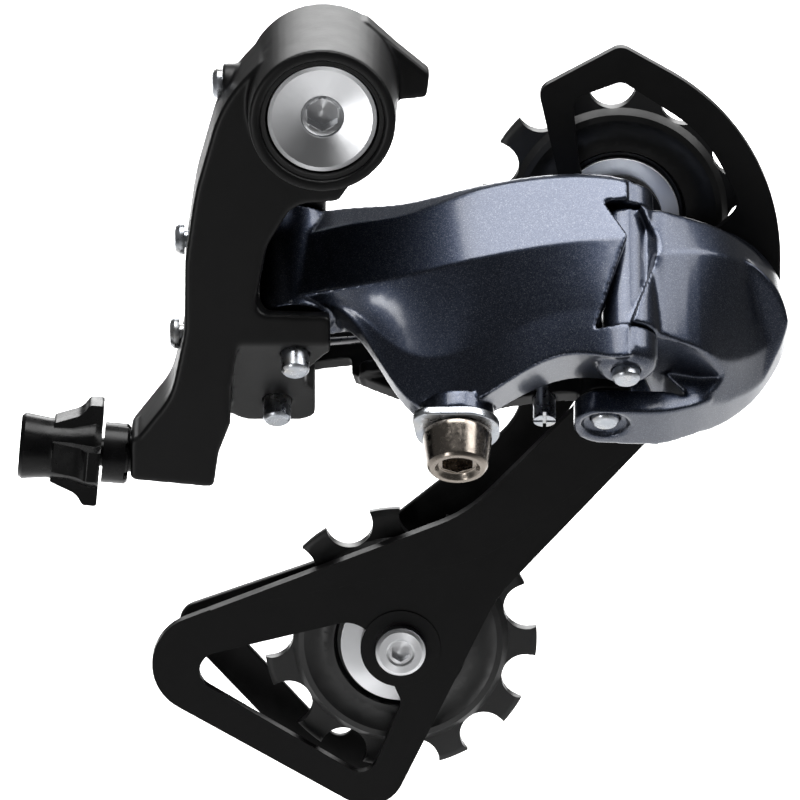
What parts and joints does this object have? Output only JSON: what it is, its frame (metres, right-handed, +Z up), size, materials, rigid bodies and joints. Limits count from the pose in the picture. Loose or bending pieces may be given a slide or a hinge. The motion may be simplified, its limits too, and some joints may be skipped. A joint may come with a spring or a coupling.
{
  "type": "rear bicycle derailleur",
  "caption": "Rear bicycle derailleur with a slanted sprung parallelogram, sprung cage, toothed jockey pulleys, cable adjuster, limit screws and a threaded mounting bolt.",
  "frame": {"origin": "centre of the mounting bolt where it enters the hanger, in the plane of the hanger's outer face", "axes": "+X towards the front of the bicycle, +Y inboard towards the wheel along the mounting bolt, +Z up"},
  "size_m": [0.1303, 0.0549, 0.146],
  "materials": {
    "cast_black": "satin black paint on cast aluminium",
    "cast_anthracite": "dark metallic blue-grey paint",
    "plate_black": "satin black coated steel plate",
    "steel_satin": "satin bright steel",
    "steel_warm": "warm nickel plate",
    "zinc": "bright zinc plate",
    "spring_steel": "oiled spring steel",
    "bush_bronze": "sintered bronze",
    "seal_rubber": "matt black rubber",
    "knob_plastic": "glossy black moulding",
    "pulley_plastic": "matt black moulding"
  },
  "bodies": {
    "axle": {"mounting_bolt": "steel_satin", "stopper_plate": "zinc", "axle_snap_ring": "spring_steel"},
    "b_knuckle": {"b_knuckle": "cast_black", "b_bushing": "bush_bronze", "b_seal": "seal_rubber", "b_spring": "spring_steel", "link_pin_a": "zinc", "link_pin_b": "zinc", "adjuster_barrel": "knob_plastic"},
    "high_limit_screw": {"high_limit_screw": "zinc"},
    "low_limit_screw": {"low_limit_screw": "zinc"},
    "stop_screw": {"stop_screw": "zinc"},
    "adjuster_knob": {"adjuster_knob": "knob_plastic"},
    "outer_link": {"outer_link": "cast_anthracite", "cable_clamp_plate": "zinc", "cable_fixing_bolt": "steel_warm", "link_pin_c": "zinc"},
    "inner_link": {"inner_link": "cast_black", "return_spring": "spring_steel", "spring_stud": "zinc"},
    "p_knuckle": {"p_knuckle": "cast_anthracite", "link_pin_d": "zinc", "p_bushing": "bush_bronze", "p_spring": "spring_steel", "p_seal": "seal_rubber"},
    "cage": {"p_axle": "steel_satin", "plate_stop_pin": "zinc", "outer_plate": "plate_black", "inner_plate": "plate_black", "guide_pulley_bolt": "steel_satin", "tension_pulley_bolt": "steel_satin", "guide_bush": "spring_steel", "tension_bush": "spring_steel", "guide_dust_caps": "steel_satin", "tension_dust_caps": "steel_satin"},
    "guide_pulley": {"guide_pulley": "pulley_plastic"},
    "tension_pulley": {"tension_pulley": "pulley_plastic"}
  },
  "joints": [
    {"name": "b_pivot", "type": "hinge", "parent": "axle", "child": "b_knuckle", "pos_m": [0, -0.014, 0], "axis": [0, -1, 0], "range_deg": [0, 60], "stiffness_Nm_per_rad": 1, "springref_deg": -34.38},
    {"name": "outer_link_pivot", "type": "hinge", "parent": "b_knuckle", "child": "outer_link", "pos_m": [-0.0047, -0.00568, -0.03404], "axis": [0, 0.7431, 0.6691], "range_deg": [0, 50], "stiffness_Nm_per_rad": 0.5, "springref_deg": -45.84},
    {"name": "inner_link_pivot", "type": "hinge", "parent": "b_knuckle", "child": "inner_link", "pos_m": [-0.0079, 0.00246, -0.04757], "axis": [0, 0.7431, 0.6691], "range_deg": [0, 50]},
    {"name": "p_knuckle_pivot", "type": "hinge", "parent": "outer_link", "child": "p_knuckle", "pos_m": [0.05056, -0.01874, -0.03], "axis": [0, 0.7431, 0.6691], "range_deg": [-50, 0]},
    {"name": "cage_pivot", "type": "hinge", "parent": "p_knuckle", "child": "cage", "pos_m": [0.0632, -0.004, -0.0434], "axis": [0, -1, 0], "range_deg": [0, 110], "stiffness_Nm_per_rad": 0.3, "springref_deg": -51.57},
    {"name": "guide_pulley_spin", "type": "hinge", "parent": "cage", "child": "guide_pulley", "pos_m": [0.05, 0.011, -0.0276], "axis": [0, 1, 0], "continuous": true},
    {"name": "tension_pulley_spin", "type": "hinge", "parent": "cage", "child": "tension_pulley", "pos_m": [0.013, 0.011, -0.1044], "axis": [0, 1, 0], "continuous": true},
    {"name": "adjuster_turn", "type": "hinge", "parent": "b_knuckle", "child": "adjuster_knob", "pos_m": [-0.04057, -0.0155, -0.0618], "axis": [-0.9962, 0, 0.0872], "range_deg": [-360, 360]},
    {"name": "high_screw_turn", "type": "hinge", "parent": "b_knuckle", "child": "high_limit_screw", "pos_m": [-0.018, -0.01, -0.0262], "axis": [-1, 0, 0], "range_deg": [-360, 360]},
    {"name": "low_screw_turn", "type": "hinge", "parent": "b_knuckle", "child": "low_limit_screw", "pos_m": [-0.018, -0.01, -0.0428], "axis": [-1, 0, 0], "range_deg": [-360, 360]},
    {"name": "stop_screw_turn", "type": "hinge", "parent": "b_knuckle", "child": "stop_screw", "pos_m": [-0.014, -0.007, 0.0002], "axis": [-1, 0, 0], "range_deg": [-360, 360]}
  ],
  "couplings": [
    {"joint": "inner_link_pivot", "follows": "outer_link_pivot", "ratio": 1},
    {"joint": "p_knuckle_pivot", "follows": "outer_link_pivot", "ratio": -1}
  ]
}
